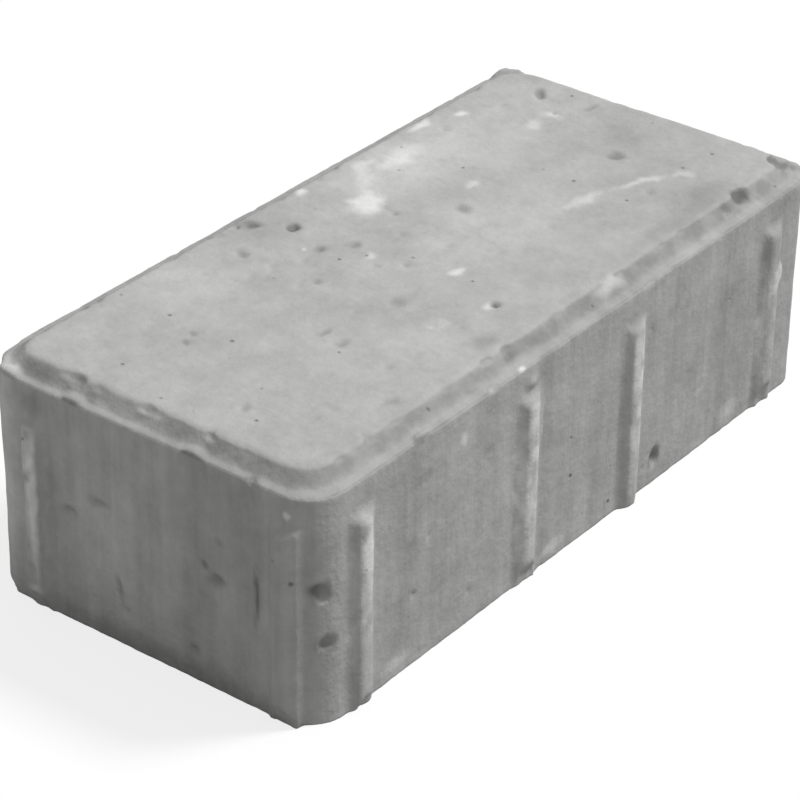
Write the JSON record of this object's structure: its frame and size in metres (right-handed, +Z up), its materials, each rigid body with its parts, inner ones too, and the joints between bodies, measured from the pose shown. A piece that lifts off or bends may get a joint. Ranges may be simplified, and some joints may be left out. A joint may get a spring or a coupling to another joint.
{
  "type": "concrete paving stone",
  "caption": "Rectangular pressed concrete paving stone with a chamfered walking face, a narrow ledge round it and upright spacer ribs on all four sides.",
  "frame": {"origin": "centre of the bed, on the level floor that the stone lies on", "axes": "+X along the length, +Y across the width, +Z up from the bed to the walking face"},
  "size_m": [0.2, 0.098, 0.06],
  "materials": {
    "pressed_concrete": "fine-grained pressed grey concrete with small pores"
  },
  "bodies": {
    "root": {"paving_stone": "pressed_concrete"}
  },
  "joints": []
}
